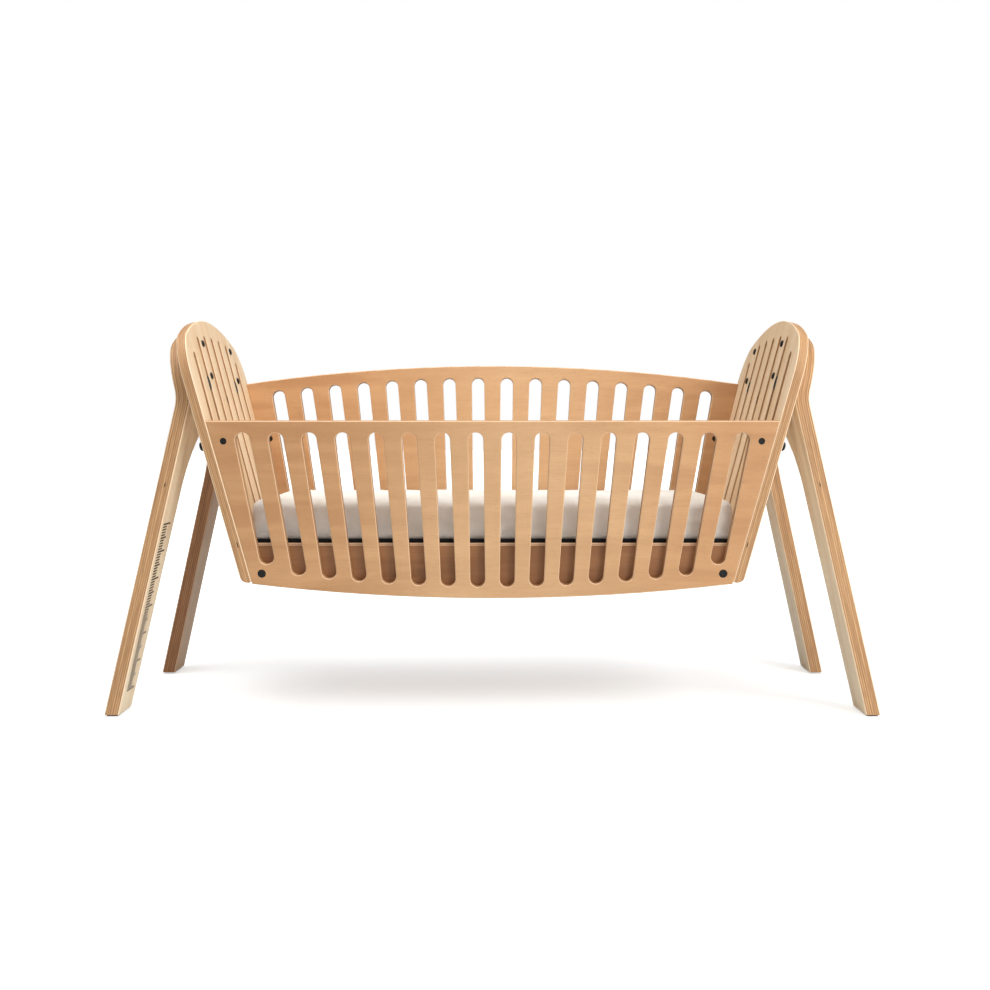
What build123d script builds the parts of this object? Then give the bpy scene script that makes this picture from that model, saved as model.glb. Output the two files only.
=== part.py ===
from build123d import *
import os
from math import cos, radians, sin, tan

# A plywood baby crib.  Two slotted end panels lean outward, two slotted side panels hang between them,
# and a bent-plywood leg frame is bolted flat on the outside of each end.  The bed is a thin board on
# rails and cleats, with a ventilation mat and a loose mattress.
# X runs along the crib, Y from front to back, Z up from the floor.  Millimetres.

# ---- Driving dimensions ------------------------------------------------------------------------
PLY = 18.0                   # end and side panels
DATUM = 500.0                # height at which the two half sizes below are given
HALF_LENGTH = 495.0          # centre to the inner face of an end panel
HALF_WIDTH = 240.0           # centre to the outer face of a side panel
END_LEAN = radians(15.0)     # end panels, top outward
SIDE_LEAN = radians(5.0)     # side panels, top outward
EDGE_ROUND = 2.0             # rounding of every plywood edge that a hand can reach

END_TOP = 709.5              # crown of an end panel
END_BOTTOM = 233.0
END_TOE_ROUND = 15.0         # rounding of the bottom edge on the outer face
END_CROWN_RADIUS = 550.0
END_SHOULDER_RADIUS = 84.0
END_SHOULDER_DROP = 55.0     # crown to the height where the width of the arch is taken
END_FOOT_RADIUS = 38.0
END_SLOT_WIDTH = 22.0
END_SLOT_PITCH = 60.0
END_SLOT_BOTTOM = 262.0
END_SLOT_TOPS = (641.0, 673.0, 678.0, 679.0, 678.0, 673.0, 641.0)

FRONT_TOP = 516.0            # straight top edge of the front panel
BACK_TOP = 635.0             # crown of the back panel
BACK_CROWN_RADIUS = 3550.0
BELLY = 204.0                # lowest point of both side panels
BELLY_RADIUS = 3540.0
SIDE_SLOTS = 16
SIDE_SLOT_WIDTH = 26.0
SIDE_SLOT_PITCH = 58.5       # at the datum
SIDE_SLOT_FAN = 0.0252       # growth of the pitch for each millimetre of height
SLOT_FOOT_RIM = 20.0         # wood left below a slot
BACK_SLOT_RIM = 25.0         # wood left above a slot
FRONT_SLOT_RIM = 20.0
OUTER_SLOT_RISE = 13.0       # the outermost slots stop higher, to clear the barrel nuts

LEG_PLY = 25.0
LEG_ROUND = 2.5
LEG_LEAN = radians(12.5)     # legs, foot outward
LEG_FOOT_X = 678.5           # outer face of a leg at the floor
LEG_TOP = 684.0
LEG_BEND_RADIUS = 82.5       # on the middle of the sheet
LEG_HALF_DEPTH_FLOOR = 233.0
LEG_HALF_DEPTH_TOP = 220.0
LEG_SPRING = 565.0           # height where the outline starts to arch
LEG_CROWN_RADIUS = 437.0
LEG_SHOULDER_RADIUS = 105.0
LEG_INNER_FLOOR = 153.0      # half gap between the two legs at the floor
LEG_CROTCH_RADIUS = 139.0
LEG_CROTCH = 385.0           # height of the centre of the crotch arc
LEG_TOE_RADIUS = 32.0        # inner corner of a foot
LEG_HEEL_RADIUS = 5.0        # outer corner of a foot
PAD = 3.0                    # rubber pad under each foot
PAD_SIZE = (20.0, 40.0)
PAD_CORNER = 4.0

LEG_BOLT_Y = (-94.0, 146.0)  # both just behind a slot
LEG_BOLT_ROWS = (104.5, 166.5)    # up the end panel from the datum
LEG_BOLT_SHANK = 8.0
LEG_BOLT_HEAD = (13.0, 3.0)       # diameter and height
INSERT = (12.0, 16.0)
SLOT_PLUG = (26.0, 14.0)     # length and depth of the plug in a slot beside a lower leg bolt
SLOT_PLUG_DROP = 14.0        # below the bolt

BUTTON_CROWN = 0.7           # of a bolt head's height that is rounded
BUTTON_SOCKET = (0.42, 0.6)  # hexagon radius and depth, of the head's radius and height

CORNER_BOLT_SHANK = 6.0
CORNER_BOLT_HEAD = (16.0, 5.0)
CORNER_BOLT_PAST_NUT = 6.0
BOTTOM_HEAD_SINK = 8.5       # of the lower corner bolts in the end panel
TOP_NUT = (469.0, 481.0, 12.0)        # x, z and diameter of a barrel nut
BOTTOM_NUT = (405.5, 248.0, 15.0)
NUT_RECESS = 1.5             # each end of a barrel nut below the face of its panel
DOWEL = (8.0, 30.0)          # diameter and length
DOWEL_DEPTH = 12.0           # of it in the end panel
DOWEL_HEIGHT = 365.0

BED = 296.0                  # top of the rails and cleats
RAIL = 12.0
RAIL_LIFT = 10.0             # bottom edge of a rail above that of its side panel
BOARD = 5.0
BOARD_GAP = 1.0
MAT = 5.0
MAT_INSET = 3.0
CLEAT = (20.0, 25.0)         # width and height
MATTRESS = (876.0, 400.0, 68.7)
MATTRESS_CORNER = 25.0
MATTRESS_EDGE = 12.0
MATTRESS_GAP = 0.3
COVER = 3.0
SCREW_SHANK = 4.0
SCREW_HEAD = 8.0
PANEL_BITE = 12.6            # depth of a screw in a panel
BOARD_SCREW = 20.0

REACH = 560.0                # half length of blanks that the end panels trim

# ---- Reference planes --------------------------------------------------------------------------
# Each is the face of a panel: local y runs up the panel, local z points out of the crib.
END = Plane((HALF_LENGTH, 0, DATUM), x_dir=(0, 1, 0), z_dir=(cos(END_LEAN), 0, -sin(END_LEAN)))
FRONT = Plane((0, -HALF_WIDTH, DATUM), x_dir=(1, 0, 0), z_dir=(0, -cos(SIDE_LEAN), -sin(SIDE_LEAN)))
BACK = Plane((0, HALF_WIDTH, DATUM), x_dir=(-1, 0, 0), z_dir=(0, cos(SIDE_LEAN), -sin(SIDE_LEAN)))
SIDES = {"front": FRONT, "back": BACK}
LEFT_END = Plane((-HALF_LENGTH, 0, DATUM), x_dir=(0, 1, 0), z_dir=(-cos(END_LEAN), 0, -sin(END_LEAN)))
ENDS = (END, LEFT_END)


def up(plane, height):
    """Local y of a height above the floor, on a leaning plane."""
    return (height - plane.origin.Z) / plane.y_dir.Z


def belly(x):
    """Height of the bottom edge of a side panel."""
    return BELLY + x * x / (2 * BELLY_RADIUS)


def back_crown(x):
    """Height of the top edge of the back panel."""
    return BACK_TOP - x * x / (2 * BACK_CROWN_RADIUS)


def front_top(x):
    """Height of the top edge of the front panel."""
    return FRONT_TOP


def end_face(height):
    """X of the inner face of the right end panel at a height."""
    return HALF_LENGTH + (height - DATUM) * tan(END_LEAN)


def side_face(height, depth=0.0):
    """Distance in Y from the centre to a side panel's outer face, or to a depth inside it."""
    return HALF_WIDTH + (height - DATUM) * tan(SIDE_LEAN) - depth / cos(SIDE_LEAN)


def twin(part):
    """The same piece at the left end."""
    with BuildPart() as copy:
        mirror(part, about=Plane.YZ)
    return copy


def nut_centre(side, nut):
    """Centre of the right barrel nut of a side panel, in the middle of the plywood."""
    plane = SIDES[side]
    x = nut[0] if side == "front" else -nut[0]
    return plane.from_local_coords((x, up(plane, nut[1]), -PLY / 2))


def bolt_axis(side, nut):
    """Plane at a barrel nut whose normal runs out along its bolt: level at the bottom, where
    little wood is left below it, and square to the end panel at the top."""
    out = Vector(1, 0, 0) if nut == BOTTOM_NUT else END.z_dir
    return Plane(nut_centre(side, nut), x_dir=(0, 1, 0), z_dir=out)


def to_end_face(axis):
    """Distance from a plane's origin along its normal to the end panel's outer face."""
    return (PLY - END.to_local_coords(axis.origin).Z) / axis.z_dir.dot(END.z_dir)


# ---- Fasteners of the right end ----------------------------------------------------------------
def button_bolt(plane, shank, head, reach_out, reach_in):
    """A button-head bolt along a plane's normal, its head starting reach_out from the origin."""
    radius, height = head[0] / 2, head[1]
    with BuildPart() as bolt:
        with BuildSketch(plane.offset(-reach_in)):
            Circle(shank / 2)
        extrude(amount=reach_in + reach_out)
        with BuildSketch(plane.offset(reach_out)):
            Circle(radius)
        extrude(amount=height)
        crown = bolt.edges().filter_by(GeomType.CIRCLE).sort_by(Axis(plane.origin, plane.z_dir))[-1]
        fillet(crown, height * BUTTON_CROWN)
        with BuildSketch(plane.offset(reach_out + height)):
            RegularPolygon(radius * BUTTON_SOCKET[0], 6)
        extrude(amount=-height * BUTTON_SOCKET[1], mode=Mode.SUBTRACT)
    return bolt.part


def rod(plane, diameter, low, high):
    """A round bar along a plane's normal, from low to high."""
    with BuildPart() as bar:
        with BuildSketch(plane.offset(low)):
            Circle(diameter / 2)
        extrude(amount=high - low)
    return bar.part


def wood_screw(plane, length):
    """A countersunk screw whose head is flush with a plane; it runs against the plane's normal."""
    with BuildPart() as screw:
        with BuildSketch(plane):
            Circle(SCREW_SHANK / 2)
        extrude(amount=-length)
        with BuildSketch(plane):
            Circle(SCREW_HEAD / 2)
        with BuildSketch(plane.offset(-SCREW_HEAD / 4)):
            Circle(SCREW_SHANK / 2)
        loft()
    return screw.part


NUTS = [(side, nut) for side in SIDES for nut in (TOP_NUT, BOTTOM_NUT)]
LEG_BOLTS = [END.from_local_coords((y, row, 0)) for y in LEG_BOLT_Y for row in LEG_BOLT_ROWS]

with BuildPart() as corner_bolts_right:
    for side, nut in NUTS:
        axis = bolt_axis(side, nut)
        sink = BOTTOM_HEAD_SINK if nut == BOTTOM_NUT else 0
        past_nut = CORNER_BOLT_PAST_NUT + nut[2] / 2
        seat = to_end_face(axis) - sink
        add(button_bolt(axis, CORNER_BOLT_SHANK, CORNER_BOLT_HEAD, seat, past_nut))

with BuildPart() as head_pockets:
    for side in SIDES:
        axis = bolt_axis(side, BOTTOM_NUT)
        outside = to_end_face(axis)
        add(rod(axis, CORNER_BOLT_HEAD[0], outside - BOTTOM_HEAD_SINK, outside + BOTTOM_HEAD_SINK))

with BuildPart() as barrel_nuts_right:
    for side, nut in NUTS:
        across = Plane(nut_centre(side, nut), z_dir=SIDES[side].z_dir)
        add(rod(across, nut[2], NUT_RECESS - PLY / 2, PLY / 2 - NUT_RECESS))
        add(rod(bolt_axis(side, nut), CORNER_BOLT_SHANK, -nut[2], nut[2]), mode=Mode.SUBTRACT)

with BuildPart() as nut_bores:
    for side, nut in NUTS:
        across = Plane(nut_centre(side, nut), z_dir=SIDES[side].z_dir)
        add(rod(across, nut[2], -PLY / 2, PLY / 2))

with BuildPart() as dowels_right:
    for side in SIDES:
        centre = nut_centre(side, (end_face(DOWEL_HEIGHT), DOWEL_HEIGHT))
        middle = Plane(centre, x_dir=(0, 1, 0), z_dir=END.z_dir)
        add(rod(middle, DOWEL[0], DOWEL_DEPTH - DOWEL[1], DOWEL_DEPTH))

with BuildPart() as leg_bolts_right:
    for point in LEG_BOLTS:
        inward = Plane(point, x_dir=(0, 1, 0), z_dir=-END.z_dir)
        add(button_bolt(inward, LEG_BOLT_SHANK, LEG_BOLT_HEAD, 0, PLY + INSERT[1]))

with BuildPart() as leg_inserts_right:
    for point in LEG_BOLTS:
        seat = Plane(point, x_dir=(0, 1, 0), z_dir=END.z_dir)
        add(rod(seat, INSERT[0], PLY, PLY + INSERT[1]))
        add(rod(seat, LEG_BOLT_SHANK, PLY, PLY + INSERT[1]), mode=Mode.SUBTRACT)

SLOT_CENTRES = [END_SLOT_PITCH * k for k in range(-3, 4)]
PLUG_SLOTS = (SLOT_CENTRES[1], SLOT_CENTRES[5])
with BuildPart() as slot_plugs_right:
    with BuildSketch(END.offset(1)):
        for y in PLUG_SLOTS:
            with Locations((y, LEG_BOLT_ROWS[0] - SLOT_PLUG_DROP)):
                SlotOverall(SLOT_PLUG[0], END_SLOT_WIDTH, rotation=90)
    extrude(amount=SLOT_PLUG[1])

# ---- Fasteners of the bed ----------------------------------------------------------------------
RAIL_SCREW_RIBS = (-6, -2, 2, 6)      # ribs of the side panels, counted from the middle
RAIL_SCREW_HEIGHT = 262.0
BOARD_SCREW_X = (-300.0, 0.0, 300.0)
CLEAT_SCREW_Y = (-106.0, 14.0, 134.0)

with BuildPart() as rail_screws:
    for side, plane in SIDES.items():
        for rib in RAIL_SCREW_RIBS:
            x = rib * (SIDE_SLOT_PITCH + SIDE_SLOT_FAN * (RAIL_SCREW_HEIGHT - DATUM))
            seat = plane.offset(-PLY - RAIL)
            head = seat.from_local_coords((x, up(seat, RAIL_SCREW_HEIGHT), 0))
            add(wood_screw(Plane(head, z_dir=-plane.z_dir), RAIL + PANEL_BITE))

with BuildPart() as board_screws:
    for x in BOARD_SCREW_X:
        for hand in (-1, 1):
            y = hand * side_face(BED, PLY + RAIL / 2)
            add(wood_screw(Plane((x, y, BED + BOARD)), BOARD_SCREW))

with BuildPart() as cleat_screws_right:
    for y in CLEAT_SCREW_Y:
        low = BED - CLEAT[1] / 2
        head = Plane((end_face(low) - CLEAT[0], y, low), z_dir=(-1, 0, 0))
        add(wood_screw(head, CLEAT[0] + PANEL_BITE))

# ---- End panels --------------------------------------------------------------------------------
with BuildPart() as end_panel_right:
    toe = Plane(END.from_local_coords((0, up(END, END_BOTTOM), PLY)), x_dir=END.y_dir, z_dir=(0, 1, 0))
    inward = toe.y_dir.dot(END.z_dir) * -1
    base, crown = up(END, END_BOTTOM), up(END, END_TOP)
    flare = tan(SIDE_LEAN) * cos(END_LEAN)
    shoulder = up(END, END_TOP - END_SHOULDER_DROP)
    foot_y, shoulder_y = HALF_WIDTH + flare * base, HALF_WIDTH + flare * shoulder
    drop = END_CROWN_RADIUS - (END_CROWN_RADIUS ** 2 - shoulder_y ** 2) ** 0.5
    with BuildSketch(END) as outline:
        with BuildLine():
            side = Line((foot_y, base), (shoulder_y, crown - drop))
            arch = ThreePointArc(side @ 1, (0, crown), (-shoulder_y, crown - drop))
            Line(arch @ 1, (-foot_y, base))
            Line((-foot_y, base), (foot_y, base))
        make_face()
        corners = outline.vertices().group_by(Axis.Y)
        fillet(corners[-1], END_SHOULDER_RADIUS)
        fillet(corners[0], END_FOOT_RADIUS)
    extrude(amount=PLY)
    with BuildSketch(END):
        for y, top in zip(SLOT_CENTRES, END_SLOT_TOPS):
            low, high = up(END, END_SLOT_BOTTOM), up(END, top)
            with Locations((y, (low + high) / 2)):
                SlotOverall(high - low, END_SLOT_WIDTH, rotation=90)
    extrude(amount=PLY, mode=Mode.SUBTRACT)
    broad = end_panel_right.faces().filter_by(GeomType.PLANE).sort_by(SortBy.AREA)[-2:]
    fillet(broad.edges(), EDGE_ROUND)
    # The bottom edge is rounded over on the outside.
    with BuildSketch(toe):
        with Locations((END_TOE_ROUND / 2, inward * END_TOE_ROUND / 2)):
            Rectangle(END_TOE_ROUND, END_TOE_ROUND)
        with Locations((END_TOE_ROUND, inward * END_TOE_ROUND)):
            Circle(END_TOE_ROUND, mode=Mode.SUBTRACT)
    extrude(amount=HALF_WIDTH, both=True, mode=Mode.SUBTRACT)
    for hardware in (corner_bolts_right, head_pockets, dowels_right, leg_bolts_right, cleat_screws_right):
        add(hardware.part, mode=Mode.SUBTRACT)
end_panel_left = twin(end_panel_right.part)


# ---- Side panels -------------------------------------------------------------------------------
def side_panel(plane, top_edge, rim):
    """A slotted side panel on its outer face, trimmed to the end panels."""
    with BuildPart() as panel:
        with BuildSketch(plane):
            with BuildLine():
                bottom = ThreePointArc(*[(x, up(plane, belly(x))) for x in (-REACH, 0, REACH)])
                ends = [(x, up(plane, top_edge(x))) for x in (REACH, 0, -REACH)]
                Line(bottom @ 1, ends[0])
                if ends[0][1] == ends[1][1]:
                    Line(ends[0], ends[2])
                else:
                    ThreePointArc(*ends)
                Line(ends[2], bottom @ 0)
            make_face()
        extrude(amount=-PLY)
        with BuildSketch(plane):
            for number in range(SIDE_SLOTS):
                step = number - (SIDE_SLOTS - 1) / 2
                x = step * SIDE_SLOT_PITCH
                lift = OUTER_SLOT_RISE if number in (0, SIDE_SLOTS - 1) else 0
                low = belly(x) + SLOT_FOOT_RIM + lift + SIDE_SLOT_WIDTH / 2
                high = top_edge(x) - rim - SIDE_SLOT_WIDTH / 2
                foot, head = [
                    Vector(step * (SIDE_SLOT_PITCH + SIDE_SLOT_FAN * (z - DATUM)), up(plane, z))
                    for z in (low, high)
                ]
                SlotCenterPoint((foot + head) / 2, head, SIDE_SLOT_WIDTH)
        extrude(amount=-PLY, mode=Mode.SUBTRACT)
        for end in ENDS:
            split(bisect_by=end, keep=Keep.BOTTOM)
        broad = panel.faces().filter_by(GeomType.PLANE).sort_by(SortBy.AREA)[-2:]
        fillet(broad.edges(), EDGE_ROUND)
        for hardware in (corner_bolts_right, dowels_right, nut_bores):
            add(hardware.part, mode=Mode.SUBTRACT)
            add(twin(hardware.part).part, mode=Mode.SUBTRACT)
        add(rail_screws.part, mode=Mode.SUBTRACT)
    return panel


side_panel_front = side_panel(FRONT, front_top, FRONT_SLOT_RIM)
side_panel_back = side_panel(BACK, back_crown, BACK_SLOT_RIM)


# ---- Leg frames --------------------------------------------------------------------------------
def head_x(z):
    """X of the middle of a leg frame's sheet, where it lies on the end panel."""
    return end_face(z) + (PLY + LEG_PLY / 2) / cos(END_LEAN)


def leg_x(z):
    """X of the middle of a leg frame's sheet, in its legs."""
    return LEG_FOOT_X - LEG_PLY / 2 / cos(LEG_LEAN) - z * tan(LEG_LEAN)


with BuildPart() as leg_frame_right:
    # The sheet: a strip with one bend, seen from the front, as wide as both legs.
    bend_z = (leg_x(0) - head_x(0)) / (tan(END_LEAN) + tan(LEG_LEAN))
    with BuildSketch(Plane.XZ):
        with BuildLine():
            FilletPolyline((head_x(END_TOP), END_TOP), (leg_x(bend_z), bend_z), (leg_x(-PLY), -PLY),
                           radius=LEG_BEND_RADIUS)
            offset(amount=LEG_PLY / 2, side=Side.BOTH)
        make_face()
    extrude(amount=HALF_WIDTH, both=True)
    # The outline: an arch on two legs, seen from the end.
    with BuildSketch(Plane.YZ) as outline:
        taper = (LEG_HALF_DEPTH_FLOOR - LEG_HALF_DEPTH_TOP) / LEG_SPRING
        drop = LEG_CROWN_RADIUS - (LEG_CROWN_RADIUS ** 2 - LEG_HALF_DEPTH_TOP ** 2) ** 0.5
        shoulder_z = LEG_TOP - drop
        shoulder_y = LEG_HALF_DEPTH_FLOOR - taper * shoulder_z
        foot_y = LEG_HALF_DEPTH_FLOOR - taper * PAD
        with BuildLine():
            Line((foot_y, PAD), (shoulder_y, shoulder_z))
            ThreePointArc((shoulder_y, shoulder_z), (0, LEG_TOP), (-shoulder_y, shoulder_z))
            Line((-shoulder_y, shoulder_z), (-foot_y, PAD))
            Line((-foot_y, PAD), (-LEG_INNER_FLOOR, PAD))
            Line((-LEG_INNER_FLOOR, PAD), (-LEG_CROTCH_RADIUS, LEG_CROTCH))
            ThreePointArc((-LEG_CROTCH_RADIUS, LEG_CROTCH), (0, LEG_CROTCH + LEG_CROTCH_RADIUS),
                          (LEG_CROTCH_RADIUS, LEG_CROTCH))
            Line((LEG_CROTCH_RADIUS, LEG_CROTCH), (LEG_INNER_FLOOR, PAD))
            Line((LEG_INNER_FLOOR, PAD), (foot_y, PAD))
        make_face()
        corners = outline.vertices().group_by(Axis.Y)
        heels = corners[0].sort_by(lambda corner: abs(corner.X))[-2:]
        toes = corners[0].sort_by(lambda corner: abs(corner.X))[:2]
        fillet(corners[-1], LEG_SHOULDER_RADIUS)
        fillet(heels, LEG_HEEL_RADIUS)
        fillet(toes, LEG_TOE_RADIUS)
    extrude(amount=REACH * 2, mode=Mode.INTERSECT)
    bend_lines = leg_frame_right.edges().filter_by(Axis.Y)
    outline_edges = leg_frame_right.edges() - bend_lines
    rims = outline_edges.filter_by(lambda edge: edge.length > LEG_PLY and edge.center().Z > 2 * PAD)
    fillet(rims, LEG_ROUND)
    for hardware in (leg_bolts_right, leg_inserts_right):
        add(hardware.part, mode=Mode.SUBTRACT)
leg_frame_left = twin(leg_frame_right.part)

with BuildPart() as foot_pads:
    with BuildSketch():
        pad_x = leg_x(0)
        pad_y = (LEG_HALF_DEPTH_FLOOR - LEG_HEEL_RADIUS + LEG_INNER_FLOOR + LEG_TOE_RADIUS) / 2
        with GridLocations(2 * pad_x, 2 * pad_y, 2, 2):
            RectangleRounded(*PAD_SIZE, PAD_CORNER)
    extrude(amount=PAD)

# ---- Bed ---------------------------------------------------------------------------------------
bed_half = end_face(BED) - BOARD_GAP


def base_rail(plane):
    """A rail on the inner face of a side panel, with its top cut level."""
    face = plane.offset(-PLY)
    with BuildPart() as rail:
        with BuildSketch(face):
            with BuildLine():
                low = ThreePointArc(*[(x, up(face, belly(x) + RAIL_LIFT)) for x in (-REACH, 0, REACH)])
                Polyline(low @ 1, (REACH, up(face, BED + RAIL)), (-REACH, up(face, BED + RAIL)), low @ 0)
            make_face()
        extrude(amount=-RAIL)
        split(bisect_by=Plane.XY.offset(BED), keep=Keep.BOTTOM)
        for end in ENDS:
            split(bisect_by=end.offset(-BOARD_GAP), keep=Keep.BOTTOM)
        add(rail_screws.part, mode=Mode.SUBTRACT)
        add(board_screws.part, mode=Mode.SUBTRACT)
    return rail


base_rail_front = base_rail(FRONT)
base_rail_back = base_rail(BACK)

with BuildPart() as base_cleat_right:
    low = BED - CLEAT[1]
    with BuildSketch(Plane.XZ):
        with BuildLine():
            Polyline((end_face(BED), BED), (end_face(low), low), (end_face(low) - CLEAT[0], low),
                     (end_face(low) - CLEAT[0], BED), close=True)
        make_face()
    extrude(amount=side_face(low, PLY + RAIL) - BOARD_GAP, both=True)
    add(cleat_screws_right.part, mode=Mode.SUBTRACT)
base_cleat_left = twin(base_cleat_right.part)

with BuildPart() as base_board:
    with BuildSketch(Plane.XY.offset(BED)):
        Rectangle(2 * bed_half, 2 * (side_face(BED, PLY) - BOARD_GAP))
    extrude(amount=BOARD)
    add(board_screws.part, mode=Mode.SUBTRACT)

with BuildPart() as ventilation_mat:
    with BuildSketch(Plane.XY.offset(BED + BOARD)):
        RectangleRounded(2 * (bed_half - MAT_INSET), 2 * (side_face(BED, PLY) - MAT_INSET), MATTRESS_CORNER)
    extrude(amount=MAT)

# ---- Mattress: a foam core in a quilted cover --------------------------------------------------
with BuildPart() as mattress_core:
    with BuildSketch(Plane.XY.offset(BED + BOARD + MAT + MATTRESS_GAP + COVER)):
        RectangleRounded(MATTRESS[0] - 2 * COVER, MATTRESS[1] - 2 * COVER, MATTRESS_CORNER - COVER)
    extrude(amount=MATTRESS[2] - 2 * COVER)
    rims = mattress_core.faces().filter_by(Axis.Z).edges()
    fillet(rims, MATTRESS_EDGE - COVER)

with BuildPart() as mattress_cover:
    with BuildSketch(Plane.XY.offset(BED + BOARD + MAT + MATTRESS_GAP)):
        RectangleRounded(MATTRESS[0], MATTRESS[1], MATTRESS_CORNER)
    extrude(amount=MATTRESS[2])
    rims = mattress_cover.faces().filter_by(Axis.Z).edges()
    fillet(rims, MATTRESS_EDGE)
    add(mattress_core.part, mode=Mode.SUBTRACT)

# ---- Write each piece --------------------------------------------------------------------------
PIECES = {
    "end_panel_right": end_panel_right,
    "end_panel_left": end_panel_left,
    "side_panel_front": side_panel_front,
    "side_panel_back": side_panel_back,
    "leg_frame_right": leg_frame_right,
    "leg_frame_left": leg_frame_left,
    "foot_pads": foot_pads,
    "leg_bolts_right": leg_bolts_right,
    "leg_bolts_left": twin(leg_bolts_right.part),
    "leg_inserts_right": leg_inserts_right,
    "leg_inserts_left": twin(leg_inserts_right.part),
    "slot_plugs_right": slot_plugs_right,
    "slot_plugs_left": twin(slot_plugs_right.part),
    "corner_bolts_right": corner_bolts_right,
    "corner_bolts_left": twin(corner_bolts_right.part),
    "barrel_nuts_right": barrel_nuts_right,
    "barrel_nuts_left": twin(barrel_nuts_right.part),
    "dowels_right": dowels_right,
    "dowels_left": twin(dowels_right.part),
    "base_rail_front": base_rail_front,
    "base_rail_back": base_rail_back,
    "base_cleat_right": base_cleat_right,
    "base_cleat_left": base_cleat_left,
    "cleat_screws_right": cleat_screws_right,
    "cleat_screws_left": twin(cleat_screws_right.part),
    "rail_screws": rail_screws,
    "board_screws": board_screws,
    "base_board": base_board,
    "ventilation_mat": ventilation_mat,
    "mattress_core": mattress_core,
    "mattress_cover": mattress_cover,
}

os.makedirs("parts", exist_ok=True)
for label, piece in PIECES.items():
    piece.part.label = label
    export_step(piece.part, f"parts/{label}.step")
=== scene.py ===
from math import cos, pi, radians, sin

import bmesh
import bpy
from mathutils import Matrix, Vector, noise


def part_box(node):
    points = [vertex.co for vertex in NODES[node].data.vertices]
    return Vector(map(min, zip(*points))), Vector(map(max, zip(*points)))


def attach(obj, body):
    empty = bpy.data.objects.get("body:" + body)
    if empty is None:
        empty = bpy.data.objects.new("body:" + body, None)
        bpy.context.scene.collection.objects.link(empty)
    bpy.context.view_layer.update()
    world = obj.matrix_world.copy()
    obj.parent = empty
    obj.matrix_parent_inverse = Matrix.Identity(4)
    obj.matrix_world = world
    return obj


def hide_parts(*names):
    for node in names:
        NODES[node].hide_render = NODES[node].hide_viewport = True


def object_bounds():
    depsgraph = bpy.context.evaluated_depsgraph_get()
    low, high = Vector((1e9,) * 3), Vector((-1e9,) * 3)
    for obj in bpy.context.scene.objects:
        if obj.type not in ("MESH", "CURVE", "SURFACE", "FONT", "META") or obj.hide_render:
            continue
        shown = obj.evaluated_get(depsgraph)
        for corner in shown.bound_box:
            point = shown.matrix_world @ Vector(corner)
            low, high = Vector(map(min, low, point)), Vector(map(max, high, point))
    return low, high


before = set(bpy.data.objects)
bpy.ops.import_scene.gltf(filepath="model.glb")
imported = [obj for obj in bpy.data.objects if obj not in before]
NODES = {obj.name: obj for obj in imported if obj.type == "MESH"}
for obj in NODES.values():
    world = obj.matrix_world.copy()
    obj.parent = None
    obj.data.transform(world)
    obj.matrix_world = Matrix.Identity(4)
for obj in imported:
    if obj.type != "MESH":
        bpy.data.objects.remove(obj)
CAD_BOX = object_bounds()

# A plywood baby crib with a loose mattress.  Metres: X along the crib, Y from front to back, Z up.

# ---- Sizes read from the frame -----------------------------------------------------------------
MM = 0.001
FLOOR_Z = CAD_BOX[0].z
MATTRESS_LOW, MATTRESS_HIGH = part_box("mattress_cover")

# ---- Sheets and planes, as the CAD has them ----------------------------------------------------
PANEL_PLY = 18 * MM         # side and end panels
LEG_PLY = 25 * MM
CLEAT_PLY = 25 * MM
RAIL_PLY = 12 * MM
BOARD_PLY = 5 * MM
END_LEAN = radians(15)
SIDE_LEAN = radians(5)
LEG_LEAN = radians(12.5)
DATUM = 500 * MM            # height at which the next two are given
HALF_LENGTH = 495 * MM      # inner face of an end panel
HALF_WIDTH = 240 * MM       # outer face of a side panel
LEG_FOOT_X = 678.5 * MM     # outer face of a leg at the floor


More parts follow.
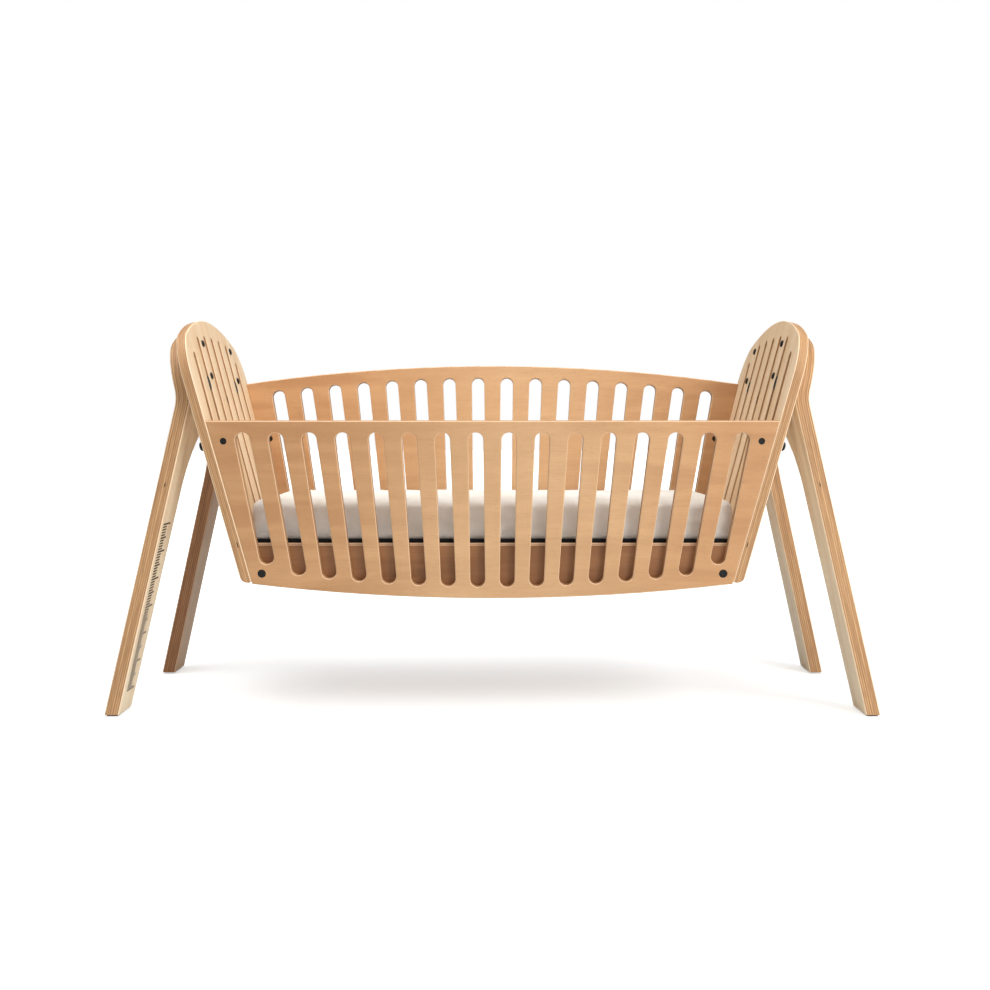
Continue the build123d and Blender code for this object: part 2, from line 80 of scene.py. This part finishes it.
# ---- A small shader graph ----------------------------------------------------------------------
class Graph:
    """Builds one material's nodes; every method returns a socket."""

    def __init__(self, name):
        self.material = bpy.data.materials.new(name)
        self.material.use_nodes = True
        self.tree = self.material.node_tree
        self.tree.nodes.clear()
        self.shader = self.tree.nodes.new("ShaderNodeBsdfPrincipled")
        output = self.tree.nodes.new("ShaderNodeOutputMaterial")
        self.tree.links.new(self.shader.outputs[0], output.inputs[0])
        self.place = self.tree.nodes.new("ShaderNodeTexCoord").outputs["Object"]

    def feed(self, socket, value):
        if isinstance(value, bpy.types.NodeSocket):
            self.tree.links.new(value, socket)
        elif value is not None:
            socket.default_value = value

    def math(self, operation, a, b=None, c=None):
        node = self.tree.nodes.new("ShaderNodeMath")
        node.operation = operation
        for socket, value in zip(node.inputs, (a, b, c)):
            self.feed(socket, value)
        return node.outputs[0]

    def dot(self, direction, offset=0.0):
        """Distance of the surface point along a direction, less an offset."""
        node = self.tree.nodes.new("ShaderNodeVectorMath")
        node.operation = "DOT_PRODUCT"
        self.feed(node.inputs[0], self.place)
        node.inputs[1].default_value = direction
        return self.math("SUBTRACT", node.outputs["Value"], offset)

    def vector(self, x, y, z):
        node = self.tree.nodes.new("ShaderNodeCombineXYZ")
        for socket, value in zip(node.inputs, (x, y, z)):
            self.feed(socket, value)
        return node.outputs[0]

    def stretched(self, along, across, up):
        """The surface point with each axis scaled."""
        axes = ((ALONG, along), (ACROSS, across), (UP, up))
        return self.vector(*(self.math("MULTIPLY", self.dot(axis), scale) for axis, scale in axes))

    def noise(self, vector, scale=1.0, detail=2.0, roughness=0.5, distortion=0.0):
        node = self.tree.nodes.new("ShaderNodeTexNoise")
        self.feed(node.inputs["Vector"], vector)
        node.inputs["Scale"].default_value = scale
        node.inputs["Detail"].default_value = detail
        node.inputs["Roughness"].default_value = roughness
        node.inputs["Distortion"].default_value = distortion
        return node.outputs["Fac"]

    def span(self, value, low, high, to_low=0.0, to_high=1.0):
        """Maps low..high to to_low..to_high with soft ends."""
        node = self.tree.nodes.new("ShaderNodeMapRange")
        node.interpolation_type = "SMOOTHSTEP"
        for socket, number in zip(node.inputs, (value, low, high, to_low, to_high)):
            self.feed(socket, number)
        return node.outputs[0]

    def mix(self, fac, a, b, blend="MIX"):
        node = self.tree.nodes.new("ShaderNodeMix")
        node.data_type = "RGBA"
        node.blend_type = blend
        self.feed(node.inputs["Factor"], fac)
        for socket, value in ((node.inputs[6], a), (node.inputs[7], b)):
            self.feed(socket, (*value, 1.0) if isinstance(value, tuple) else value)
        return node.outputs[2]

    def bump(self, height, distance, strength=1.0):
        node = self.tree.nodes.new("ShaderNodeBump")
        node.inputs["Strength"].default_value = strength
        node.inputs["Distance"].default_value = distance
        self.feed(node.inputs["Height"], height)
        return node.outputs[0]

    def finish(self, **inputs):
        for name, value in inputs.items():
            socket = self.shader.inputs[name.replace("_", " ")]
            if isinstance(value, tuple) and len(value) == 3:
                value = (*value, 1.0)
            self.feed(socket, value)
        return self.material


def srgb(red, green, blue):
    """Linear colour from the usual 0 to 255 values."""
    def linear(value):
        value /= 255
        return value / 12.92 if value <= 0.04045 else ((value + 0.055) / 1.055) ** 2.4
    return tuple(linear(value) for value in (red, green, blue))


# ---- Plywood -----------------------------------------------------------------------------------
def plywood(name, depth, thickness, plies, grain, cross, tones, edge_tones,
            pale_middle=0.0, painted_shade_back=0.0):
    """Lacquered birch plywood.

    depth(graph) gives the distance into the sheet.  The face veneers run along grain, the next ones
    along cross, and so on, so the cut edges show stripes.  tones are the veneer's light and dark
    colours, and edge_tones those of long grain, end grain and glue on an edge.  pale_middle is how
    strongly a broad painted highlight lightens the face halfway along it, and painted_shade_back how
    much painted shade darkens the wood towards the back.
    """
    g = Graph(name)
    sheet = thickness / plies
    skin = 0.15 * MM        # keeps the very faces out of the next sheet
    rim = 1.6 * MM          # how deep the painted highlight on the rounding of an edge goes
    into = g.math("MINIMUM", g.math("MAXIMUM", depth(g), skin), thickness - skin)
    layers = g.math("DIVIDE", into, sheet)
    number = g.math("FLOOR", layers)
    within = g.math("FRACT", layers)
    crossed = g.math("MODULO", number, 2.0)
    along, across = g.dot(grain), g.dot(cross)

    # Figure of the face veneer: broad bands, fine fibres, short flecks and a rare dark streak.
    band_place = g.vector(g.math("MULTIPLY", along, 3.5), g.math("MULTIPLY", across, 26.0), number)
    bands = g.noise(band_place, 1.0, 4.0, 0.55, 0.6)
    fibre_place = g.vector(g.math("MULTIPLY", along, 22.0), g.math("MULTIPLY", across, 520.0), number)
    fibres = g.noise(fibre_place, 1.0, 3.0, 0.6)
    fleck_place = g.vector(g.math("MULTIPLY", along, 90.0), g.math("MULTIPLY", across, 900.0), number)
    flecks = g.span(g.noise(fleck_place, 1.0, 1.0, 0.5), 0.62, 0.78)
    streak_place = g.vector(g.math("MULTIPLY", along, 14.0), g.math("MULTIPLY", across, 190.0), number)
    streaks = g.span(g.noise(streak_place, 1.0, 2.0, 0.5), 0.735, 0.79)
    clouds = g.noise(g.place, 4.0, 2.0, 0.5)

    light, dark = tones
    face = g.mix(g.span(bands, 0.3, 0.7), light, dark)
    # Painted highlight: the face is paler in a broad band halfway along, where the light's reflection
    # falls.
    if pale_middle:
        waver = g.math("MULTIPLY", clouds, 60 * MM)
        off_middle = g.math("ABSOLUTE", g.math("ADD", g.dot(ALONG, 80 * MM), waver))
        face = g.mix(g.span(off_middle, 60 * MM, 380 * MM, pale_middle, 0.0), face, PAINTED_MIDDLE_HIGHLIGHT)
    face = g.mix(g.span(clouds, 0.3, 0.7, 0.0, 0.35), face, dark)
    face = g.mix(g.math("MULTIPLY", g.span(fibres, 0.35, 0.75), 0.30), face, dark)
    face = g.mix(g.math("MULTIPLY", flecks, 0.38), face, tuple(c * 0.55 for c in dark))
    face = g.mix(g.math("MULTIPLY", streaks, 0.55), face, tuple(c * 0.3 for c in dark))

    # Cut edge: alternate plies, each a little different, with thin dark glue lines and a rare void.
    long_grain, end_grain, glue = edge_tones
    ply_place = g.vector(number, g.math("MULTIPLY", along, 3.0), g.math("MULTIPLY", across, 3.0))
    ply_tone = g.noise(ply_place, 1.7, 1.0)
    edge = g.mix(crossed, long_grain, end_grain)
    edge = g.mix(g.span(ply_tone, 0.35, 0.7, 0.0, 0.45), edge, glue)
    pore_place = g.vector(g.math("MULTIPLY", along, 34.0), g.math("MULTIPLY", across, 34.0),
                          g.math("MULTIPLY", layers, 2.2))
    pores = g.noise(pore_place, 1.0, 3.0, 0.6)
    edge = g.mix(g.span(pores, 0.4, 0.75, 0.0, 0.55), edge, glue)
    line = g.math("ADD", g.span(within, 0.0, 0.16, 1.0, 0.0), g.span(within, 0.86, 1.0, 0.0, 1.0))
    edge = g.mix(g.math("MULTIPLY", line, 0.35), edge, glue)
    void_place = g.vector(g.math("MULTIPLY", along, 26.0), g.math("MULTIPLY", across, 26.0),
                          g.math("MULTIPLY", number, 5.3))
    voids = g.math("MULTIPLY", g.span(g.noise(void_place, 1.0, 0.0), 0.80, 0.83), crossed)
    edge = g.mix(voids, edge, tuple(c * 0.12 for c in glue))

    from_face = g.math("MINIMUM", into, g.math("SUBTRACT", thickness, into))
    inner = g.math("GREATER_THAN", from_face, sheet)
    colour = g.mix(inner, face, edge)
    # Painted highlight: the rounding of an edge is paler, as where it catches the light.
    below_skin = g.span(from_face, 1.6 * skin, 3.5 * skin)
    above_edge = g.span(from_face, rim, rim * 1.4, 1.0, 0.0)
    edge_highlight = g.math("MULTIPLY", below_skin, above_edge)
    colour = g.mix(g.math("MULTIPLY", edge_highlight, 0.62), colour, PAINTED_EDGE_HIGHLIGHT)
    # Painted shade: the wood darkens towards the back, as the back of the left leg stands in shade.
    if painted_shade_back:
        toward_back = g.span(g.dot(ACROSS), 0.0, 150 * MM, 0.0, painted_shade_back)
        colour = g.mix(toward_back, colour, g.mix(0.85, colour, PAINTED_BACK_SHADE, "MULTIPLY"))
    open_pores = g.math("MULTIPLY", g.math("MULTIPLY", pores, inner), 0.8)
    relief = g.math("ADD", g.math("MULTIPLY", fibres, 0.6), open_pores)
    relief = g.math("SUBTRACT", relief, g.math("MULTIPLY", voids, 3.0))
    rough = g.span(fibres, 0.2, 0.8, 0.42, 0.56)
    return g.finish(Base_Color=colour, Roughness=g.math("ADD", rough, g.math("MULTIPLY", inner, 0.12)),
                    Normal=g.bump(relief, 0.12 * MM), Specular_IOR_Level=0.42)


def flat_sheet(point, outward):
    """Depth into a flat sheet from its outer face."""
    normal = Vector(outward)
    return lambda g: g.math("MULTIPLY", g.dot(normal, normal.dot(Vector(point))), -1.0)


def end_normal(hand):
    return Vector((hand * cos(END_LEAN), 0, -sin(END_LEAN)))


def end_face(hand, depth):
    """A point on an end panel's plane, depth outside its inner face."""
    return Vector((hand * HALF_LENGTH, 0, DATUM)) + end_normal(hand) * depth


def side_normal(hand):
    return Vector((0, hand * cos(SIDE_LEAN), -sin(SIDE_LEAN)))


def side_point(hand):
    return Vector((0, hand * HALF_WIDTH, DATUM))


def bent_sheet(hand):
    """Depth into a leg frame from its outer face: the head's plane and the legs', blended at the bend."""
    head = flat_sheet(end_face(hand, PANEL_PLY + LEG_PLY), end_normal(hand))
    leg = flat_sheet((hand * LEG_FOOT_X, 0, 0), (hand * cos(LEG_LEAN), 0, sin(LEG_LEAN)))
    blend = 12 * MM
    return lambda g: g.math("SMOOTH_MAX", head(g), leg(g), blend)


UP, ALONG, ACROSS = Vector((0, 0, 1)), Vector((1, 0, 0)), Vector((0, 1, 0))

# Light and dark tones of a face veneer: leg frames, end panels, side panels and base, inner rails.
PALE = (srgb(246, 228, 198), srgb(232, 204, 166))
HONEY = (srgb(238, 214, 182), srgb(222, 190, 150))
WARM = (srgb(204, 156, 110), srgb(182, 133, 89))
DEEP = (srgb(166, 116, 74), srgb(138, 92, 54))
# Painted highlight for the middle of a side panel.
PAINTED_MIDDLE_HIGHLIGHT = srgb(221, 184, 140)
# Painted highlight for the rounding of an edge.
PAINTED_EDGE_HIGHLIGHT = srgb(246, 216, 182)
PAINTED_BACK_SHADE = srgb(170, 132, 104)         # painted shade; multiplies the wood's own colour
# Long grain, end grain and glue on a cut edge.
EDGE = (srgb(214, 172, 124), srgb(188, 142, 98), srgb(128, 84, 50))
BASE_EDGE = (srgb(220, 180, 136), srgb(172, 126, 84), srgb(112, 72, 42))


def paint(node, material):
    """Gives a CAD node its material."""
    mesh = NODES[node].data
    mesh.materials.clear()
    mesh.materials.append(material)
    for polygon in mesh.polygons:
        polygon.material_index = 0


def paint_wood():
    for side, hand in (("left", -1), ("right", 1)):
        normal = end_normal(hand)
        slope = Vector((-normal.z * hand, 0, normal.x * hand))
        paint(f"end_panel_{side}", plywood(
            f"plywood_end_{side}", flat_sheet(end_face(hand, PANEL_PLY), normal), PANEL_PLY, 11,
            slope, ACROSS, HONEY, EDGE))
        # The left leg frame gets painted shade towards its back.
        paint(f"leg_frame_{side}", plywood(
            f"plywood_leg_{side}", bent_sheet(hand), LEG_PLY, 13, UP, ACROSS, PALE, EDGE,
            painted_shade_back=0.8 if side == "left" else 0.0))
        paint(f"base_cleat_{side}", plywood(
            f"plywood_cleat_{side}", flat_sheet((0, 0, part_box("base_cleat_right")[1].z), UP),
            CLEAT_PLY, 13, ACROSS, ALONG, WARM, BASE_EDGE))
    for side, hand in (("front", -1), ("back", 1)):
        normal = side_normal(hand)
        slope = normal.cross(ALONG) * -hand
        point = side_point(hand)
        # The side panels get a broad painted highlight halfway along.
        paint(f"side_panel_{side}", plywood(
            f"plywood_side_{side}", flat_sheet(point, normal), PANEL_PLY, 11,
            ALONG, slope, WARM, EDGE, pale_middle=0.5))
        paint(f"base_rail_{side}", plywood(
            f"plywood_rail_{side}", flat_sheet(point - normal * PANEL_PLY, normal), RAIL_PLY, 9,
            ALONG, slope, DEEP, BASE_EDGE))
    board_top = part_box("base_board")[1]
    paint("base_board", plywood(
        "plywood_board", flat_sheet(board_top, UP), BOARD_PLY, 3, ALONG, ACROSS, WARM, BASE_EDGE))


# ---- Hardware ----------------------------------------------------------------------------------
def metal(name, colour, roughness, metallic=1.0, shine=0.5):
    """Turned, plated or blackened metal with a fine grit and duller patches."""
    g = Graph(name)
    grit = g.noise(g.place, 900.0, 3.0, 0.6)
    wear = g.noise(g.place, 120.0, 3.0, 0.6)
    tone = g.mix(g.span(wear, 0.35, 0.75, 0.0, 0.5), colour, tuple(c * 0.6 for c in colour))
    return g.finish(Base_Color=tone, Metallic=metallic, Normal=g.bump(grit, 0.04 * MM, 0.15),
                    Specular_IOR_Level=shine,
                    Roughness=g.span(grit, 0.2, 0.8, roughness - 0.06, roughness + 0.1))


def grained(name, colour, roughness, scale, depth):
    """Moulded plastic or rubber with a fine grain."""
    g = Graph(name)
    grain = g.noise(g.place, scale, 2.0, 0.5)
    dust = g.noise(g.place, scale / 12, 3.0, 0.6)
    tone = g.mix(g.span(dust, 0.5, 0.85, 0.0, 0.35), colour, tuple(c + 0.02 for c in colour))
    return g.finish(Base_Color=tone, Roughness=g.span(grain, 0.2, 0.8, roughness - 0.05, roughness + 0.08),
                    Normal=g.bump(grain, depth))


def spacer_mesh():
    """Black open mesh: a lattice of small holes in both directions."""
    g = Graph("black_spacer_mesh")
    pitch = 2.2 * MM
    waves = [g.math("SINE", g.math("MULTIPLY", g.dot(axis), 2 * pi / pitch)) for axis in (ALONG, ACROSS)]
    lattice = g.math("MULTIPLY", *waves)
    tone = g.mix(g.span(lattice, -0.2, 0.6), (0.012, 0.012, 0.013), (0.003, 0.003, 0.003))
    return g.finish(Base_Color=tone, Roughness=0.9, Specular_IOR_Level=0.15,
                    Normal=g.bump(lattice, 0.5 * MM))


def turned_beech():
    g = Graph("turned_beech")
    rays = g.noise(g.stretched(60.0, 600.0, 600.0), 1.0, 2.0)
    tone = g.mix(g.span(rays, 0.35, 0.7), srgb(214, 172, 126), srgb(180, 132, 88))
    return g.finish(Base_Color=tone, Roughness=0.6, Normal=g.bump(rays, 0.1 * MM))


def paint_hardware():
    black = metal("black_oxide", (0.007, 0.006, 0.006), 0.45, 0.0, shine=0.3)
    zinc = metal("zinc_plate", (0.55, 0.55, 0.52), 0.34)
    brass = metal("turned_brass", (0.62, 0.42, 0.16), 0.3)
    plastic = grained("black_plastic", (0.008, 0.008, 0.008), 0.5, 1400.0, 0.03 * MM)
    rubber = grained("black_rubber", (0.014, 0.013, 0.012), 0.72, 700.0, 0.08 * MM)
    beech = turned_beech()
    for end in ("left", "right"):
        for node in ("leg_bolts", "corner_bolts", "barrel_nuts"):
            paint(f"{node}_{end}", black)
        paint(f"leg_inserts_{end}", brass)
        paint(f"slot_plugs_{end}", plastic)
        paint(f"dowels_{end}", beech)
        paint(f"cleat_screws_{end}", zinc)
    paint("rail_screws", zinc)
    paint("board_screws", zinc)
    paint("foot_pads", rubber)
    paint("ventilation_mat", spacer_mesh())


# ---- Mattress ----------------------------------------------------------------------------------
def quilted_cotton():
    """Off-white woven cotton."""
    g = Graph("quilted_cotton")
    pitch = 0.9 * MM
    warp = g.math("SINE", g.math("MULTIPLY", g.dot(ALONG), 2 * pi / pitch))
    weft = g.math("SINE", g.math("MULTIPLY", g.math("ADD", g.dot(ACROSS), g.dot(UP)), 2 * pi / pitch))
    weave = g.math("MULTIPLY", warp, weft)
    slub = g.noise(g.stretched(60.0, 700.0, 700.0), 1.0, 2.0)
    cloud = g.noise(g.place, 9.0, 3.0, 0.5)
    tone = g.mix(g.span(cloud, 0.3, 0.7), srgb(252, 250, 245), srgb(245, 241, 231))
    tone = g.mix(g.span(slub, 0.45, 0.8, 0.0, 0.25), tone, srgb(232, 226, 212))
    tone = g.mix(g.span(weave, 0.2, 1.0, 0.0, 0.12), tone, srgb(220, 213, 198))
    relief = g.math("ADD", weave, g.math("MULTIPLY", slub, 1.5))
    return g.finish(Base_Color=tone, Roughness=0.92, Sheen_Weight=0.25, Sheen_Roughness=0.5,
                    Normal=g.bump(relief, 0.12 * MM))


def rounded_block(name, low, high, corner, edge):
    """A block with rounded upright corners and softened rims."""
    mesh = bpy.data.meshes.new(name)
    bm = bmesh.new()
    bmesh.ops.create_cube(bm, size=1.0)
    size, middle = high - low, (high + low) / 2
    for vertex in bm.verts:
        vertex.co = Vector(a * b for a, b in zip(vertex.co, size)) + middle
    upright = [e for e in bm.edges if abs(e.verts[0].co.z - e.verts[1].co.z) > size.z / 2]
    bmesh.ops.bevel(bm, geom=upright, offset=corner, segments=8, affect="EDGES", profile=0.5)
    for level, softness in ((high.z, edge), (low.z, edge / 3)):
        rims = [e for e in bm.edges if all(abs(v.co.z - level) < MM for v in e.verts)
                and e.calc_face_angle(0) > 1.2]
        bmesh.ops.bevel(bm, geom=rims, offset=softness, segments=5, affect="EDGES", profile=0.5)
    bm.to_mesh(mesh)
    bm.free()
    block = bpy.data.objects.new(name, mesh)
    bpy.context.scene.collection.objects.link(block)
    return block


def apply_modifiers(piece):
    """Replaces a piece's mesh with what its modifiers make of it."""
    graph = bpy.context.evaluated_depsgraph_get()
    made = bpy.data.meshes.new_from_object(piece.evaluated_get(graph))
    piece.modifiers.clear()
    piece.data = made


VOXEL = 6 * MM
FRAMES = 20                 # length of the simulation
QUILT = 73 * MM             # pitch of the quilting on top
SKIRT = 6 * MM              # made below the mattress and then pressed flat, for a crisp lower rim
SWELL = 7 * MM              # how far a point of the mattress may move in the simulation


def inflate(piece):
    """Blows the block up a little as cloth, so that its faces crown and its corners pull in."""
    remesh = piece.modifiers.new("remesh", "REMESH")
    remesh.mode = "VOXEL"
    remesh.voxel_size = VOXEL
    apply_modifiers(piece)
    start = [vertex.co.copy() for vertex in piece.data.vertices]
    cloth = piece.modifiers.new("cloth", "CLOTH")
    cloth.settings.effector_weights.gravity = 0
    cloth.settings.use_pressure = True
    cloth.settings.uniform_pressure_force = 4
    cloth.settings.tension_stiffness = 12
    cloth.settings.compression_stiffness = 6
    cloth.settings.bending_stiffness = 0.6
    for number in range(1, FRAMES + 1):
        bpy.context.scene.frame_set(number)
    apply_modifiers(piece)
    bpy.context.scene.frame_set(1)
    for vertex, home in zip(piece.data.vertices, start):
        move = vertex.co - home
        if move.length > SWELL:
            vertex.co = home + move * (SWELL / move.length)


def dress(piece, low, high):
    """Puckers and creases on the walls, shallow quilted hollows on top, and a flat underside."""
    middle, half = (low + high) / 2, (high - low) / 2
    for vertex in piece.data.vertices:
        p = vertex.co
        wall = 1 - min(1, max(0, abs(p.z - middle.z) / half.z)) ** 4
        wave = noise.noise(Vector((p.x * 38, p.y * 38, p.z * 6)))
        fold = noise.noise(Vector((p.x * 11 + 7, p.y * 11, p.z * 16)))
        outward = Vector(((p.x - middle.x) / half.x, (p.y - middle.y) / half.y, 0))
        on_long_wall = abs(outward.y) > 0.9
        push = Vector((0, outward.y, 0)) if on_long_wall else Vector((outward.x, 0, 0))
        if max(abs(outward.x), abs(outward.y)) > 0.9:
            slant = Vector(((p.x + p.z) * 22, p.y * 22, (p.z - p.x * 0.5) * 30))
            crease = noise.noise(slant)
            vertex.co += push * wall * (wave * 2.2 + fold * 2.2 - abs(crease) * 5.0) * MM
        if p.z > high.z - 10 * MM:
            dip = abs(sin(p.x * pi / QUILT) * sin(p.y * pi / QUILT))
            vertex.co.z += (dip ** 0.5 - 1) * 2.0 * MM + fold * 1.2 * MM
        vertex.co.z = max(vertex.co.z, low.z)


def make_mattress():
    low, high = Vector(MATTRESS_LOW), Vector(MATTRESS_HIGH)
    slack = Vector((SWELL, SWELL, 0)) * 0.6
    top = Vector((0, 0, 3 * MM))
    skirt = Vector((0, 0, SKIRT))
    mattress = rounded_block("mattress", low + slack - skirt, high - slack - top, 14 * MM, 7 * MM)
    inflate(mattress)
    dress(mattress, low, high)
    smooth = mattress.modifiers.new("smooth", "SUBSURF")
    smooth.levels = smooth.render_levels = 1
    apply_modifiers(mattress)
    for polygon in mattress.data.polygons:
        polygon.use_smooth = True
    cotton = quilted_cotton()
    mattress.data.materials.clear()
    mattress.data.materials.append(cotton)
    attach(mattress, "mattress")
    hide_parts("mattress_cover", "mattress_core")


# ---- Measuring marks on the front left leg -----------------------------------------------------
def make_scale():
    """A plain ruler of burnt ticks up the inner face of the front left leg; each fifth one is longer."""
    inner_x = LEG_FOOT_X - LEG_PLY / cos(LEG_LEAN)
    proud = 0.3 * MM
    up_leg = Vector((sin(LEG_LEAN), 0, cos(LEG_LEAN)))
    out = Vector((cos(LEG_LEAN), 0, -sin(LEG_LEAN)))
    foot = Vector((-inner_x, -213 * MM, 0))             # front end of the ticks, at the floor
    first, count, pitch = 42 * MM, 61, 5 * MM
    mesh = bpy.data.meshes.new("leg_scale")
    bm = bmesh.new()
    for tick in range(count):
        length = 44 * MM if tick % 10 == 0 else 34 * MM if tick % 5 == 0 else 24 * MM
        width = 2.8 * MM if tick % 5 == 0 else 2.5 * MM
        middle = foot + up_leg * (first + tick * pitch)
        ends = []
        for depth in (-proud, proud):
            for y, z in ((0, -1), (1, -1), (1, 1), (0, 1)):
                corner = ACROSS * length * y + up_leg * width * z / 2 + out * depth
                ends.append(bm.verts.new(middle + corner))
        bm.faces.new(ends[4:])
        bm.faces.new(ends[3::-1])
        for k in range(4):
            bm.faces.new((ends[k], ends[(k + 1) % 4], ends[4 + (k + 1) % 4], ends[4 + k]))
    bm.to_mesh(mesh)
    bm.free()
    scale = bpy.data.objects.new("leg_scale", mesh)
    bpy.context.scene.collection.objects.link(scale)
    scale.data.materials.append(grained("burnt_wood", srgb(58, 38, 24), 0.8, 900.0, 0.05 * MM))
    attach(scale, "crib")


# ---- Studio ------------------------------------------------------------------------------------
def make_camera():
    """Level with the side panels, square on to the front."""
    data = bpy.data.cameras.new("camera")
    data.lens = 45.45
    data.shift_x, data.shift_y = 0.0026, -0.0646
    camera = bpy.data.objects.new("camera", data)
    camera.location = (0, -2.414, 0.4987)
    camera.rotation_euler = (pi / 2, 0, 0)
    bpy.context.scene.collection.objects.link(camera)
    bpy.context.scene.camera = camera


def area_light(name, place, target, size, power, colour):
    data = bpy.data.lights.new(name, "AREA")
    data.shape = "DISK"
    data.size = size
    data.energy = power
    data.color = colour
    light = bpy.data.objects.new(name, data)
    light.location = place
    light.rotation_euler = (Vector(target) - Vector(place)).to_track_quat("-Z", "Y").to_euler()
    bpy.context.scene.collection.objects.link(light)


AMBIENT = 0.37                      # strength of the light from all round, level with the crib
AMBIENT_TILT = (0.32, -0.2, 0.32)   # how much more comes from the right, the front and above
FLOOR_LIFT = 0.5                    # light added to the floor that the camera sees, near the crib
FLOOR_REACH = 30.0
FLOOR_GAP = 0.2 * MM
NEAR_FLOOR, FAR_FLOOR = 1.0, 2.4    # distances between which the floor fades out to white
KEY_WHITE = (1, 0.99, 0.975)
SOFT_WHITE = (1, 0.99, 0.98)


def make_studio():
    floor_mesh = bpy.data.meshes.new("floor")
    r = FLOOR_REACH
    floor_mesh.from_pydata([(-r, -r, 0), (r, -r, 0), (r, r, 0), (-r, r, 0)], [], [(0, 1, 2, 3)])
    floor = bpy.data.objects.new("floor", floor_mesh)
    floor.location.z = FLOOR_Z - FLOOR_GAP
    bpy.context.scene.collection.objects.link(floor)
    # The floor and backdrop are burnt out to white, so what the camera sees of them is lifted.
    g = Graph("studio_floor")
    seen = g.tree.nodes.new("ShaderNodeLightPath").outputs["Is Camera Ray"]
    squares = [g.math("POWER", g.dot(axis), 2.0) for axis in (ALONG, ACROSS)]
    away = g.math("POWER", g.math("ADD", *squares), 0.5)
    lift = g.span(away, NEAR_FLOOR, FAR_FLOOR, FLOOR_LIFT, 1.0)
    floor_mesh.materials.append(g.finish(
        Base_Color=(0.77, 0.8, 0.81), Roughness=0.95, Specular_IOR_Level=0.1,
        Emission_Color=(1.0, 1.0, 1.0), Emission_Strength=g.math("MULTIPLY", seen, lift)))
    world = bpy.data.worlds.new("studio")
    bpy.context.scene.world = world
    world.use_nodes = True
    tree = world.node_tree
    seen = tree.nodes.new("ShaderNodeLightPath").outputs["Is Camera Ray"]
    toward = tree.nodes.new("ShaderNodeVectorMath")
    toward.operation = "DOT_PRODUCT"
    tree.links.new(tree.nodes.new("ShaderNodeTexCoord").outputs["Generated"], toward.inputs[0])
    toward.inputs[1].default_value = AMBIENT_TILT
    ambient = tree.nodes.new("ShaderNodeMath")
    ambient.operation = "ADD"
    ambient.use_clamp = True
    tree.links.new(toward.outputs["Value"], ambient.inputs[0])
    ambient.inputs[1].default_value = AMBIENT
    level = tree.nodes.new("ShaderNodeMapRange")
    tree.links.new(ambient.outputs[0], level.inputs["To Min"])
    level.inputs["To Max"].default_value = 1.0
    background = tree.nodes["Background"]
    background.inputs["Color"].default_value = (1, 1, 1, 1)
    tree.links.new(seen, level.inputs["Value"])
    tree.links.new(level.outputs[0], background.inputs["Strength"])
    area_light("key", (1.6, -1.8, 2.2), (-0.1, 0, 0.4), 1.5, 38, KEY_WHITE)
    area_light("fill", (1.5, -2.3, 0.7), (0.1, 0, 0.35), 1.0, 11, SOFT_WHITE)
    area_light("top", (-0.7, -0.3, 2.5), (0.2, 0, 0.4), 1.6, 34, SOFT_WHITE)
    bpy.context.scene.view_settings.view_transform = "Standard"


paint_wood()
paint_hardware()
make_mattress()
make_scale()
make_camera()
make_studio()
